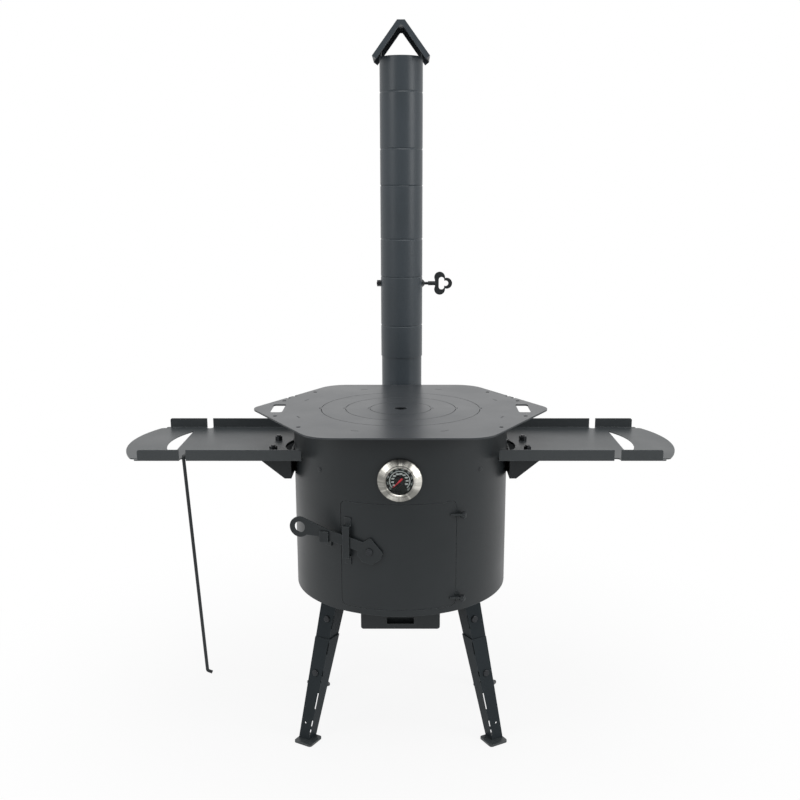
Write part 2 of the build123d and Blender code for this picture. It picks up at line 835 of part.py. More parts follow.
def ash_drawer():
    """An open pan with a front plate, and a finger pocket behind the slot in it."""
    w = drawer_wall
    half = box_half_width - box_wall - slide_gap
    low = box_bottom_z + box_wall
    back = box_rear_y - box_wall - drawer_back_gap
    front = box_front_y - drawer_front_gap
    pan = block((-half, front, low), (half, back, low + drawer_height))
    pan -= block((-half + w, front - past, low + w), (half - w, back - w, low + drawer_height + past))
    top = barrel_bottom_z - drawer_top_gap
    outline = Pos(0, (top + box_bottom_z) / 2) * RectangleRounded(
        2 * (box_half_width + drawer_front_overlap), top - box_bottom_z, drawer_front_round)
    outline -= Pos(0, pull_middle_z) * RectangleRounded(2 * pull_half_width, pull_height, pull_round)
    plate = Pos(0, front, 0) * (facing_front * extrude(outline, drawer_front_thick))
    lip_top = pull_middle_z + pull_height / 2
    deep = front + pull_depth
    pocket = block((-pull_half_width - w, front, lip_top), (pull_half_width + w, deep, lip_top + w))
    pocket += block((-pull_half_width - w, deep - w, low + w), (pull_half_width + w, deep, lip_top))
    cheek = block((pull_half_width, front, low + w), (pull_half_width + w, deep, lip_top))
    return pan + plate + pocket + cheek + mirrored_x(cheek)


# Side trays

def tray_outline():
    """The right tray's floor, seen from above, without its strips."""
    corner_x = tray_end_x - tray_end_round + sqrt(tray_end_round ** 2 - tray_end_half_width ** 2)
    slit_x = tray_lip_end_x - tray_slit_length
    bow = ThreePointArc((corner_x, -tray_end_half_width), (tray_end_x, 0), (corner_x, tray_end_half_width))
    sides = Polyline((corner_x, tray_end_half_width), (slit_x, tray_end_half_width),
                     (slit_x, tray_half_width), (tray_lip_start_x, tray_half_width),
                     (tray_lip_start_x, -tray_half_width),
                     (slit_x, -tray_half_width), (slit_x, -tray_end_half_width),
                     (corner_x, -tray_end_half_width))
    face = make_face([bow, sides])
    ends = [v for v in face.vertices() if abs(v.X - corner_x) < same]
    return fillet(ends, tray_corner_round) - Circle(barrel_r + tray_barrel_gap)


def tray_strip():
    """The strip beside a slit, under the end of the rear lip."""
    start = tray_lip_end_x - tray_slit_length
    inner = tray_end_half_width + tray_slit
    face = Pos((start + tray_lip_end_x + tray_strip_past) / 2, (inner + tray_half_width) / 2) * Rectangle(
        tray_slit_length + tray_strip_past, tray_half_width - inner)
    return fillet(face.vertices().group_by(Axis.X)[-1].sort_by(Axis.Y)[-1], tray_strip_round)


def tray_grip():
    """D-shaped hand hole: straight towards the stove, bowed towards the end."""
    bow = ThreePointArc((tray_grip_x, -tray_grip_half), (tray_grip_x + tray_grip_bulge, 0),
                        (tray_grip_x, tray_grip_half))
    return make_face([bow, Line((tray_grip_x, tray_grip_half), (tray_grip_x, -tray_grip_half))])


def side_tray():
    """The right tray. The left one is its mirror image."""
    strip = tray_strip()
    face = tray_outline() + strip + mirrored_y(strip) - tray_grip() - tray_bite()
    for y in tray_bolt_places:
        face -= Pos(tray_bolt_x, y) * Circle(m8_r + bolt_gap)
    for side in (-1, 1):
        face -= Pos(tray_notch_x, side * tray_half_width) * Rot(0, 0, 90) * SlotOverall(
            2 * tray_notch_depth, tray_notch_width)
    lip_top = tray_bottom_z + tray_lip_height
    lip = block((tray_lip_start_x, tray_half_width - tray_thick, tray_bottom_z),
                (tray_lip_end_x, tray_half_width, lip_top))
    lip = fillet(lip.edges().filter_by(Axis.Y).group_by(Axis.Z)[-1], tray_lip_round)
    lip -= block((tray_notch_x - tray_notch_width / 2, 0, tray_bottom_z - past),
                 (tray_notch_x + tray_notch_width / 2, 2 * tray_half_width, lip_top + past))
    return sheet(face, tray_bottom_z, tray_thick) + lip + mirrored_y(lip)


tray_bolt_places = (bracket_y - tray_bolt_half, bracket_y + tray_bolt_half)


def tray_bite():
    """A shallow round cut over the bracket, in the tray's floor and in the bracket's shelf."""
    return Pos(tray_bite_x, bracket_y) * Circle(tray_bite_r)


def tray_bracket():
    """A folded bracket: a shelf under the tray, a back plate and a cheek at each end."""
    top = tray_bottom_z
    low = top - bracket_drop
    back = barrel_r + weld_gap
    near = bracket_y - bracket_half_width
    far = bracket_y + bracket_half_width
    floor = Pos((back + bracket_reach) / 2, bracket_y) * Rectangle(bracket_reach - back, far - near)
    shelf = sheet(floor - tray_bite(), top - bracket_thick, bracket_thick)
    for y in tray_bolt_places:
        shelf -= upright(m8_r + bolt_gap, low, top + past, tray_bolt_x, y)
    plate = block((back, near, low), (back + bracket_thick, far, top - bracket_thick))
    side = make_face(Polyline((back, top), (bracket_reach, top), (bracket_reach, top - bracket_toe),
                              (back + bracket_heel, low), (back, low), close=True))
    return (shelf + plate + side_view(side, near, bracket_thick)
            + side_view(side, far - bracket_thick, bracket_thick))


def tray_bolts(side):
    """Two hex bolts from below, seated under the bracket's shelf."""
    length = bracket_thick + tray_thick + m8_nut_thick + m8_stub
    bolt = Pos(0, 0, -m8_head_thick) * hex_prism(m8_nut_flats, m8_head_thick) + post(m8_r, length)
    return [Pos(side * tray_bolt_x, y, tray_bottom_z - bracket_thick) * bolt for y in tray_bolt_places]


def tray_nuts(side):
    nut = bored(hex_prism(m8_nut_flats, m8_nut_thick), m8_r + pin_gap)
    nut = chamfer(nut.edges().filter_by(GeomType.LINE).group_by(Axis.Z)[-1], m8_nut_chamfer)
    top = tray_bottom_z + tray_thick
    return [Pos(side * tray_bolt_x, y, top) * Rot(0, 0, m8_nut_turn * (i + 1)) * nut
            for i, y in enumerate(tray_bolt_places)]


# Legs, drawn for the front right corner

def ridge_point(z):
    """The outer ridge of the lower leg at a height."""
    share = z / barrel_bottom_z
    x = leg_foot_x + (leg_top_x - leg_foot_x) * share
    y = leg_foot_y + (leg_top_y - leg_foot_y) * share
    return Vector(x, -y, z)


def leg_arm(z):
    return leg_arm_foot + (leg_arm_top - leg_arm_foot) * z / barrel_bottom_z


def angle_section(z, nest):
    """An angle profile at a height, nested behind the outer one by whole thicknesses."""
    ridge = ridge_point(z)
    near = nest * (leg_thick + leg_nest_gap)
    inner = near + leg_thick
    end = leg_arm(z)
    face = make_face(Polyline((near, near), (end, near), (end, inner), (inner, inner), (inner, end),
                              (near, end), close=True))
    return Pos(ridge.X, ridge.Y, z) * Rot(0, 0, leg_turn) * face


def angle_piece(low, high, nest):
    return loft([angle_section(low, nest), angle_section(high, nest)], ruled=True)


def leg_direction(turn):
    """A level direction, turned from the arm that faces the front."""
    return Vector(cos(radians(leg_turn + turn)), sin(radians(leg_turn + turn)), 0)


def leg_down():
    return (ridge_point(0) - ridge_point(barrel_bottom_z)).normalized()


def leg_bolt_plane(z, depth):
    """A plane on the leg's front arm, its Z pointing out of the leg."""
    across = leg_direction(0)
    normal = across.cross(leg_down() * -1).normalized()
    origin = ridge_point(z) + across * leg_bolt_along - normal * depth
    return Plane(origin=origin, x_dir=across, z_dir=normal)


def bolt_hole(z):
    return leg_bolt_plane(z, 0) * Cylinder(leg_bolt_r + bolt_gap, 2 * leg_arm_top)


def fold_slot(low, high):
    """A cut through the fold between two heights."""
    plane = Plane(origin=ridge_point((low + high) / 2), x_dir=leg_direction(-45), z_dir=leg_down() * -1)
    return plane * Box(leg_slot_width, 6 * leg_thick, high - low)


def leg_lower():
    leg = angle_piece(foot_thick, leg_lower_top_z, 0) - bolt_hole(leg_bolt_heights[0])
    leg -= leg_bolt_plane(leg_hole_z, 0) * Cylinder(leg_hole_r, leg_arm_foot)
    for low, high in leg_slots:
        leg -= fold_slot(low, high)
    return leg


def leg_upper():
    leg = angle_piece(leg_upper_bottom_z, floor_under_z - leg_thick - leg_seat_gap, 1)
    for low, high in leg_upper_slots:
        leg -= fold_slot(low, high)
    return leg - bolt_hole(leg_bolt_heights[0]) - bolt_hole(leg_bolt_heights[1])


def leg_socket():
    """An angle with a flange, welded under the barrel's floor."""
    socket = angle_piece(socket_bottom_z, floor_under_z - leg_thick, 2) - bolt_hole(leg_bolt_heights[1])
    middle = ridge_point(floor_under_z) + leg_direction(45) * (leg_arm_top / sqrt(2))
    side = leg_arm_top + 2 * socket_flange_rim
    flange = RectangleRounded(side, side, socket_flange_round)
    flange = Pos(middle.X, middle.Y) * Rot(0, 0, leg_turn) * flange
    return socket + sheet(flange, floor_under_z - leg_thick, leg_thick)


def foot_plate():
    middle = ridge_point(0) + leg_direction(45) * foot_offset
    face = RectangleRounded(foot_side, foot_side, foot_round)
    return sheet(Pos(middle.X, middle.Y) * Rot(0, 0, leg_turn) * face, 0, foot_thick)


def leg_bolt(index):
    """Round-headed bolt on the outer face. The lower one clamps both angles."""
    depth = index * (leg_thick + leg_nest_gap) - leg_bolt_gap
    shank = 2 * leg_thick + leg_nest_gap + wing_hub_thick + leg_bolt_end
    bolt = post(leg_bolt_r, -shank) + round_head(leg_bolt_head_r, leg_bolt_head_thick)
    return leg_bolt_plane(leg_bolt_heights[index], depth) * bolt


def wing_nut(index):
    """A wing nut on the inner face, its wings along the leg."""
    depth = index * (leg_thick + leg_nest_gap) + 2 * leg_thick + leg_nest_gap
    tip = -wing_hub_thick - wing_rise
    root = wing_hub_r - wing_root
    wing = make_face(Polyline((root, -wing_root / 2), (wing_reach - wing_taper, -wing_hub_thick),
                              (wing_reach, tip), (wing_reach - 2 * wing_taper, tip),
                              (root, -wing_hub_thick), close=True))
    wing = side_view(wing, -wing_thick / 2, wing_thick)
    nut = bored(post(wing_hub_r, -wing_hub_thick) + wing + mirrored_x(wing), leg_bolt_r + pin_gap)
    return leg_bolt_plane(leg_bolt_heights[index], depth) * Rot(0, 0, 90) * nut


def four_corners(shape):
    """Front right, front left, rear right, rear left."""
    left = mirrored_x(shape)
    return [shape, left, mirrored_y(shape), mirrored_y(left)]


# Flue, chimney and damper

def flue_duct():
    """A closed box from the barrel's back to under the spigot."""
    w = duct_wall
    outer = block((-duct_half_width, 0, duct_bottom_z), (duct_half_width, duct_rear_y, duct_top_z))
    room = block((-duct_half_width + w, -past, duct_bottom_z + w),
                 (duct_half_width - w, duct_rear_y - w, duct_top_z - w))
    outer = fillet(outer.edges().filter_by(Axis.Z).group_by(Axis.Y)[-1], duct_corner_round)
    room = fillet(room.edges().filter_by(Axis.Z).group_by(Axis.Y)[-1], duct_corner_round - w)
    duct = outer - room
    duct -= upright(barrel_r + weld_gap, duct_bottom_z - past, duct_top_z + past)
    return duct - upright(spigot_r - spigot_wall, duct_top_z - 2 * w, duct_top_z + past, 0, flue_y)


def flue_spigot():
    inner = spigot_r - spigot_wall
    high = pipe_seats[0] + pipe_groove_rises[0] - groove_width
    spigot = tube(spigot_r, inner, duct_top_z, high, 0, flue_y)
    return spigot + tube(spigot_flange_r, inner, duct_top_z, duct_top_z + spigot_flange_thick, 0, flue_y)


def grooved_wall(stops, thick):
    """A revolved pipe wall. Stops are (height, outer radius) pairs, from the bottom up."""
    outer = [(r, z) for z, r in stops]
    inner = [(r - thick, z) for z, r in reversed(stops)]
    face = make_face(Plane.XZ * Polyline(*outer, *inner, close=True))
    return Pos(0, flue_y, 0) * revolve(face, Axis.Z)


def groove(z):
    """Three points that press a groove into a pipe."""
    half = groove_width / 2
    return [(z - half, pipe_r), (z, pipe_r - groove_depth), (z + half, pipe_r)]


def chimney_pipe(index):
    """A pipe with a stop groove, and above its visible stretch a narrowed end for the next pipe."""
    seat = pipe_seats[index]
    stops = [(seat, pipe_r)] + groove(seat + pipe_groove_rises[index])
    if index + 1 < len(pipe_seats):
        shoulder = pipe_seats[index + 1]
        stops += [(shoulder - pipe_shoulder, pipe_r), (shoulder - pipe_shoulder_gap, narrow_r),
                  (shoulder + pipe_insert, narrow_r)]
    else:
        stops += groove(pipe_top_groove_z) + [(pipe_top_z, pipe_r)]
    return grooved_wall(stops, pipe_wall)


def damper_holes():
    return Pos(0, flue_y, damper_z) * Rot(0, 90, 0) * Cylinder(shaft_r + pin_gap, 4 * pipe_r)


def along_x(radius, start, end):
    return Pos(start, flue_y, damper_z) * Rot(0, 90, 0) * Cylinder(
        radius, end - start, align=(Align.CENTER, Align.CENTER, Align.MIN))


def damper_plate():
    """The flap, standing on edge when the flue is open, with a round fold for the shaft."""
    disc = Pos(0, flue_y, damper_z) * Rot(90, 0, 0) * Cylinder(damper_r, damper_thick)
    half = damper_r * damper_fold_share
    fold = along_x(shaft_r + damper_fold_wall, -half, half)
    return disc + fold - along_x(shaft_r + weld_gap, -2 * damper_r, 2 * damper_r)


nut_start = -pipe_r - weld_gap - washer_thick - washer_gap - nut_thick


def damper_shaft():
    return along_x(shaft_r, nut_start - nut_stub, key_start_x + key_shaft_in)


def damper_bushes():
    """A cone on the key side and a washer on the nut side."""
    start = pipe_r + weld_gap
    cone = Pos(start, flue_y, damper_z) * Rot(0, 90, 0) * Cone(
        bush_r, bush_tip_r, bush_length, align=(Align.CENTER, Align.CENTER, Align.MIN))
    washer = along_x(washer_r, -start - washer_thick, -start)
    bore = along_x(shaft_r + pin_gap, -2 * pipe_r, 2 * pipe_r)
    return [cone - bore, washer - bore]


def damper_nut():
    nut = Pos(nut_start, flue_y, damper_z) * Rot(0, 90, 0) * hex_prism(nut_flats, nut_thick)
    return nut - along_x(shaft_r, nut_start - past, nut_start + nut_thick + past)


def damper_key():
    """A flat three-lobed ring on the end of the shaft, its hole the same trefoil, smaller."""
    places = [(key_side_x, key_side_z), (key_side_x, -key_side_z), (key_end_x, 0)]
    middle_x = sum(x for x, z in places) / len(places)
    web = Pos((key_web_x + key_side_x) / 2, 0) * Rectangle(key_side_x - key_web_x, 2 * key_side_z)
    face = trefoil(places, key_lobe_r) + web
    hole_x = middle_x + key_hole_shift
    small = [(hole_x + (x - middle_x) * key_hole_share, z * key_hole_share) for x, z in places]
    back = Pos(*small[0]) * Pos(0, -small[0][1]) * Rectangle(2 * key_hole_r, 2 * small[0][1])
    face -= trefoil(small, key_hole_r) + back
    key = Pos(0, 0, damper_z) * side_view(face, flue_y - key_thick / 2, key_thick)
    hub = along_x(shaft_r + key_hub_wall, key_start_x, key_start_x + key_hub_length)
    return key + hub - along_x(shaft_r, key_start_x - past, key_start_x + key_shaft_in)


def trefoil(places, radius):
    """Three discs and the triangle between their middles."""
    face = make_face(Polyline(*places, close=True))
    for x, z in places:
        face += Pos(x, z) * Circle(radius)
    return face


# Rain cap

def roof_profile(thick):
    """A bent strip's end view: its top line from the left, then a line thick below it from the right."""
    slope = atan2(cap_drop, cap_half_width - cap_flat / 2)
    low = cap_apex_z - cap_drop
    inner_x = cap_half_width - thick * sin(slope)
    inner_low = low - thick * cos(slope)
    inner_flat = cap_flat / 2 - thick * tan(slope / 2)
    under = cap_apex_z - thick
    return [(-cap_half_width, low), (-cap_flat / 2, cap_apex_z), (cap_flat / 2, cap_apex_z),
            (cap_half_width, low), (inner_x, inner_low), (inner_flat, under), (-inner_flat, under),
            (-inner_x, inner_low)]


def rain_cap():
    """A strip bent to a roof, with a lip folded down at its front and rear edge."""
    front = flue_y - cap_depth / 2
    roof = side_view(make_face(Polyline(*roof_profile(cap_thick), close=True)), front, cap_depth)
    lip = make_face(Polyline(*roof_profile(cap_lip), close=True))
    rear = side_view(lip, front + cap_depth - cap_thick, cap_thick)
    return roof + side_view(lip, front, cap_thick) + rear


def cap_feet():
    """Two straps welded inside the pipe's end, up to the roof's underside."""
    under = roof_profile(cap_thick)[4:]
    room = Polyline(*under, (under[-1][0], cap_foot_low_z), (under[0][0], cap_foot_low_z), close=True)
    space = side_view(make_face(room), flue_y - cap_foot_width / 2, cap_foot_width)
    outer = pipe_r - pipe_wall - weld_gap
    ring = tube(outer, outer - cap_foot_thick, cap_foot_low_z, cap_apex_z, 0, flue_y)
    return (ring & space).solids()


# Poker

def poker():
    """A round rod with a hook over the tray's floor and a bent toe."""
    floor = tray_bottom_z + tray_thick
    top = Vector(-tray_notch_x, -tray_half_width + tray_notch_depth - poker_r - moving_gap,
                 floor + poker_r + poker_hook_rise)
    foot = Vector(poker_foot_x, top.Y, poker_foot_z)
    toe = Vector(poker_foot_x + poker_toe, top.Y, poker_foot_z - poker_toe * poker_toe_share)
    hook = Vector(top.X, top.Y + poker_hook_reach, top.Z)
    path = FilletPolyline(hook, top, foot, toe, radius=poker_hook_bend)
    start = Plane(origin=hook, z_dir=(0, -1, 0))
    return sweep(start * Circle(poker_r), path=path)


def build():
    save("barrel_shell", barrel_shell())
    save("barrel_floor", barrel_floor())
    save("barrel_plugs", *wall_plugs())
    save("hot_plate", hot_plate())
    save("plate_lugs", *seat_lugs(ring_radii[0], 45))
    for i, name in enumerate(ring_names):
        save(name, lift_ring(i))
        if i + 1 < len(ring_names):
            save(name + "_lugs", *seat_lugs(ring_radii[i + 1], 45 if i % 2 else 0))
    save("fire_grate", fire_grate())

    save("door_panel", door_panel())
    save("door_stop_frame", door_stop())
    save("hinge_lugs_barrel", *[hinge_lug(z, False) for z in hinge_heights])
    save("hinge_lugs_door", *[hinge_lug(z, True) for z in hinge_heights])
    save("hinge_pins", *[hinge_pin(z) for z in hinge_heights])
    save("latch_lever", latch_lever())
    save("latch_bolt", latch_bolt())
    save("latch_washer_and_nut", latch_washer(), latch_nut())
    save("latch_guide", latch_guide())
    save("latch_catch", latch_catch())

    save("thermometer_bezel", gauge_bezel())
    save("thermometer_dial", gauge_dial())
    save("thermometer_needle", gauge_needle())
    save("thermometer_glass", gauge_glass())
    save("thermometer_stem", gauge_stem())
    save("thermometer_nut", gauge_nut())

    save("ash_box", ash_box())
    save("ash_drawer", ash_drawer())

    tray = side_tray()
    bracket = tray_bracket()
    save("side_tray_right", tray)
    save("side_tray_left", mirrored_x(tray))
    save("tray_bracket_right", bracket)
    save("tray_bracket_left", mirrored_x(bracket))
    save("tray_bolts", *tray_bolts(1), *tray_bolts(-1))
    save("tray_nuts", *tray_nuts(1), *tray_nuts(-1))

    corners = ("front_right", "front_left", "rear_right", "rear_left")
    for corner, upper, lower in zip(corners, four_corners(leg_upper()), four_corners(leg_lower())):
        save("leg_upper_" + corner, upper)
        save("leg_lower_" + corner, lower)
    save("leg_sockets", *four_corners(leg_socket()))
    save("foot_plates", *four_corners(foot_plate()))
    save("leg_bolts", *four_corners(leg_bolt(0)), *four_corners(leg_bolt(1)))
    save("leg_wing_nuts", *four_corners(wing_nut(0)), *four_corners(wing_nut(1)))

    save("flue_duct", flue_duct())
    save("flue_spigot", flue_spigot())
    save("chimney_lower", chimney_pipe(0) - damper_holes())
    save("chimney_middle", chimney_pipe(1))
    save("chimney_upper", chimney_pipe(2))
    save("damper_plate", damper_plate())
    save("damper_shaft", damper_shaft())
    save("damper_bushes", *damper_bushes())
    save("damper_nut", damper_nut())
    save("damper_key", damper_key())
    save("rain_cap", rain_cap())
    save("cap_feet", *cap_feet())
    save("poker", poker())


build()
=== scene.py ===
# Cauldron stove in coated sheet steel: materials, dial, weld beads, light and camera.
# The steel pieces that carry and move come with the frame, in metres, +Z up and -Y the front.
import json
import math

import bpy
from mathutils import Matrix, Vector


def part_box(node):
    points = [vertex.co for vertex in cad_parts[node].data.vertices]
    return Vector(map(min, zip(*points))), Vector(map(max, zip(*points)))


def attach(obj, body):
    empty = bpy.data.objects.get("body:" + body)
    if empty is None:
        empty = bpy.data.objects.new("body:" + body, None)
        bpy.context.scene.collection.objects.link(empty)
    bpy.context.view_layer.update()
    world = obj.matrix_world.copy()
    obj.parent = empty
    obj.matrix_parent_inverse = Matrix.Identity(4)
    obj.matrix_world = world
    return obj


mm = 0.001
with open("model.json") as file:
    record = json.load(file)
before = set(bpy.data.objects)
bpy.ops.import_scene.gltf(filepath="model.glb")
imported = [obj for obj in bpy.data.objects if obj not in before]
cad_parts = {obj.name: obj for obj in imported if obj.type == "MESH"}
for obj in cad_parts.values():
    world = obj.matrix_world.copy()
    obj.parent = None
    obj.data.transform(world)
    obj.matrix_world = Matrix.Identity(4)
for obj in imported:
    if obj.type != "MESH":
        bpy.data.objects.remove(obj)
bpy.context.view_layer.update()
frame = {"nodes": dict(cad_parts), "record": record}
nodes = frame["nodes"]
print("frame:", len(nodes), "steel pieces")


def linear(hexColour):
    # sRGB hex to the linear values that shaders take
    shares = [int(hexColour[i:i + 2], 16) / 255 for i in (0, 2, 4)]
    return (*[v / 12.92 if v <= 0.04045 else ((v + 0.055) / 1.055) ** 2.4 for v in shares], 1.0)


def addNode(tree, kind, inputs=None, **settings):
    # adds one node; an input is given a value, or the socket that feeds it
    made = tree.nodes.new(kind)
    for name, value in settings.items():
        setattr(made, name, value)
    for name, value in (inputs or {}).items():
        if isinstance(value, bpy.types.NodeSocket):
            tree.links.new(value, made.inputs[name])
        else:
            made.inputs[name].default_value = value
    return made


def newMaterial(name):
    material = bpy.data.materials.new(name)
    material.use_nodes = True
    material.node_tree.nodes.clear()
    return material, material.node_tree


def middle(node):
    low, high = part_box(node)
    return (low + high) / 2


# Polyester powder coat, sprayed and baked on laser-cut mild steel. To the eye: a dry, even, dark film, with a
# fine orange peel that breaks up reflections, and a paler line along edges: partly where it draws thin over cut
# edges, partly a painted highlight.
coatLooks = {
    "matt": {"colour": "1e2224", "pale": "262a2c", "edge": "666b6d", "roughness": (0.36, 0.44), "gloss": 0.3},
    "legs": {"colour": "23282b", "pale": "2b3033", "edge": "5c6163", "roughness": (0.40, 0.48), "gloss": 0.06},
    "tray": {"colour": "2e3234", "pale": "363a3c", "edge": "6c7072", "roughness": (0.34, 0.41), "gloss": 0.42},
    "chimney": {"colour": "30363a", "pale": "394046", "edge": "626a6f", "roughness": (0.34, 0.42),
                "gloss": 0.35},
    "plate": {"colour": "303336", "pale": "383b3e", "edge": "44484a", "roughness": (0.28, 0.34), "gloss": 0.33},
    "inside": {"colour": "101010", "pale": "1a1918", "edge": "2a2927", "roughness": (0.65, 0.85), "gloss": 0.5},
}
coatShape = {
    "cloud": 90 * mm, "cloudDetail": 4.0, "cloudRange": (0.3, 0.7),
    "peel": 1.6 * mm, "peelDetail": 2.0, "peelHeight": 0.03 * mm, "peelStrength": 0.35,
    "edgeRound": 0.9 * mm, "edgeTurn": (0.97, 0.80), "edgeShare": 0.8, "ior": 1.5,
}


def powderCoat(name, look):
    material, tree = newMaterial(name)
    place = addNode(tree, "ShaderNodeTexCoord").outputs["Object"]
    cloud = addNode(tree, "ShaderNodeTexNoise", {"Vector": place, "Scale": 1 / coatShape["cloud"],
                                                 "Detail": coatShape["cloudDetail"]})
    peel = addNode(tree, "ShaderNodeTexNoise", {"Vector": place, "Scale": 1 / coatShape["peel"],
                                                "Detail": coatShape["peelDetail"]})
    film = addNode(tree, "ShaderNodeMix", {0: cloud.outputs["Fac"], 6: linear(look["colour"]),
                                           7: linear(look["pale"])}, data_type="RGBA")
    rounded = addNode(tree, "ShaderNodeBevel", {"Radius": coatShape["edgeRound"]}, samples=4)
    face = addNode(tree, "ShaderNodeNewGeometry")
    turned = addNode(tree, "ShaderNodeVectorMath", {0: rounded.outputs["Normal"], 1: face.outputs["Normal"]},
                     operation="DOT_PRODUCT")
    edge = addNode(tree, "ShaderNodeMapRange", {"Value": turned.outputs["Value"],
                                                "From Min": coatShape["edgeTurn"][0],
                                                "From Max": coatShape["edgeTurn"][1],
                                                "To Min": 0.0, "To Max": coatShape["edgeShare"]})
    # paler edge colour: partly the thin coat over cut edges, partly a painted highlight
    colour = addNode(tree, "ShaderNodeMix", {0: edge.outputs["Result"], 6: film.outputs[2],
                                             7: linear(look["edge"])}, data_type="RGBA")
    dull = addNode(tree, "ShaderNodeMapRange", {"Value": cloud.outputs["Fac"],
                                                "From Min": coatShape["cloudRange"][0],
                                                "From Max": coatShape["cloudRange"][1],
                                                "To Min": look["roughness"][0], "To Max": look["roughness"][1]})
    bump = addNode(tree, "ShaderNodeBump", {"Height": peel.outputs["Fac"],
                                            "Strength": coatShape["peelStrength"],
                                            "Distance": coatShape["peelHeight"] / coatShape["peelStrength"],
                                            "Normal": rounded.outputs["Normal"]})
    coat = addNode(tree, "ShaderNodeBsdfPrincipled", {"Base Color": colour.outputs[2], "IOR": coatShape["ior"],
                                                      "Specular IOR Level": look["gloss"],
                                                      "Roughness": dull.outputs["Result"],
                                                      "Normal": bump.outputs["Normal"]})
    addNode(tree, "ShaderNodeOutputMaterial", {"Surface": coat.outputs[0]})
    return material


# Turned stainless steel, AISI 304: pale warm grey, with fine rings from the lathe as bumps, and bright and dull
# wedges
# across the rim painted into the colour: a painted reflection.
steelLook = {
    "colour": "dad8d0", "shade": "85847f", "roughness": 0.23, "brushed": 0.75,
    "ringPitch": 0.9 * mm, "ringHeight": 0.01 * mm, "ringStrength": 0.3,
    "ringWander": 1.5, "ringDetail": 3.0, "ringFine": 3.0,
    "wedges": 1.7, "wedgeDetail": 3.0, "wedgeRoughness": 0.6, "wedgeRange": (0.40, 0.60),
}
waveRing = 0.157    # metres from ring to ring in the wave texture at scale 1


def turnedSteel(name, centre):
    material, tree = newMaterial(name)
    place = addNode(tree, "ShaderNodeTexCoord").outputs["Object"]
    centred = addNode(tree, "ShaderNodeMapping", {"Vector": place, "Location": [-c for c in centre]})
    rings = addNode(tree, "ShaderNodeTexWave", {"Vector": centred.outputs["Vector"],
                                                "Distortion": steelLook["ringWander"],
                                                "Scale": waveRing / steelLook["ringPitch"],
                                                "Detail": steelLook["ringDetail"],
                                                "Detail Scale": steelLook["ringFine"]},
                    wave_type="RINGS", rings_direction="Y")
    flat = addNode(tree, "ShaderNodeVectorMath", {0: centred.outputs["Vector"], 1: (1.0, 0.0, 1.0)},
                   operation="MULTIPLY")
    aim = addNode(tree, "ShaderNodeVectorMath", {0: flat.outputs[0]}, operation="NORMALIZE")
    # painted reflection: noise round the gauge centre lays bright and dull wedges into the colour
    paintedSheenNoise = addNode(tree, "ShaderNodeTexNoise", {"Vector": aim.outputs[0], "Scale": steelLook["wedges"],
                                                  "Detail": steelLook["wedgeDetail"],
                                                  "Roughness": steelLook["wedgeRoughness"]})
    wedge = addNode(tree, "ShaderNodeMapRange", {"Value": paintedSheenNoise.outputs["Fac"],
                                                 "From Min": steelLook["wedgeRange"][0],
                                                 "From Max": steelLook["wedgeRange"][1]})
    tone = addNode(tree, "ShaderNodeMix", {0: wedge.outputs["Result"], 6: linear(steelLook["shade"]),
                                           7: linear(steelLook["colour"])}, data_type="RGBA")
    bump = addNode(tree, "ShaderNodeBump", {"Height": rings.outputs["Fac"],
                                            "Strength": steelLook["ringStrength"],
                                            "Distance": steelLook["ringHeight"] / steelLook["ringStrength"]})
    around = addNode(tree, "ShaderNodeTangent", direction_type="RADIAL", axis="Y")
    steel = addNode(tree, "ShaderNodeBsdfPrincipled", {"Base Color": tone.outputs[2], "Metallic": 1.0,
                                                       "Roughness": steelLook["roughness"],
                                                       "Anisotropic": steelLook["brushed"],
                                                       "Tangent": around.outputs[0],
                                                       "Normal": bump.outputs["Normal"]})
    addNode(tree, "ShaderNodeOutputMaterial", {"Surface": steel.outputs[0]})
    return material


# Screw steel with black zinc: darker and shinier than the coat, a little uneven from the bath.
zincLook = {"colour": "1b1d1f", "pale": "33363a", "roughness": (0.30, 0.45), "metal": 0.5, "patch": 6 * mm,
            "patchDetail": 3.0, "edgeRound": 0.4 * mm}


def blackZinc(name):
    material, tree = newMaterial(name)
    place = addNode(tree, "ShaderNodeTexCoord").outputs["Object"]
    patch = addNode(tree, "ShaderNodeTexNoise", {"Vector": place, "Scale": 1 / zincLook["patch"],
                                                 "Detail": zincLook["patchDetail"]})
    tone = addNode(tree, "ShaderNodeMix", {0: patch.outputs["Fac"], 6: linear(zincLook["colour"]),
                                           7: linear(zincLook["pale"])}, data_type="RGBA")
    dull = addNode(tree, "ShaderNodeMapRange", {"Value": patch.outputs["Fac"],
                                                "To Min": zincLook["roughness"][0],
                                                "To Max": zincLook["roughness"][1]})
    rounded = addNode(tree, "ShaderNodeBevel", {"Radius": zincLook["edgeRound"]}, samples=4)
    zinc = addNode(tree, "ShaderNodeBsdfPrincipled", {"Base Color": tone.outputs[2],
                                                      "Metallic": zincLook["metal"],
                                                      "Roughness": dull.outputs["Result"],
                                                      "Normal": rounded.outputs["Normal"]})
    addNode(tree, "ShaderNodeOutputMaterial", {"Surface": zinc.outputs[0]})
    return material


# Enamels and printing inks on the dial: flat colour with a trace of grain under a soft gloss.
inkLooks = {
    "dialEnamel": {"colour": "0b0c0c", "pale": "121414", "roughness": 0.45, "grain": 0.6 * mm},
    "whiteInk": {"colour": "c9cccb", "pale": "e4e6e5", "roughness": 0.55, "grain": 0.5 * mm},
    "greyInk": {"colour": "8c908f", "pale": "a3a7a6", "roughness": 0.55, "grain": 0.5 * mm},
    "needleRed": {"colour": "b81f2c", "pale": "d8404c", "roughness": 0.4, "grain": 2.5 * mm},
}
inkGloss = 0.2


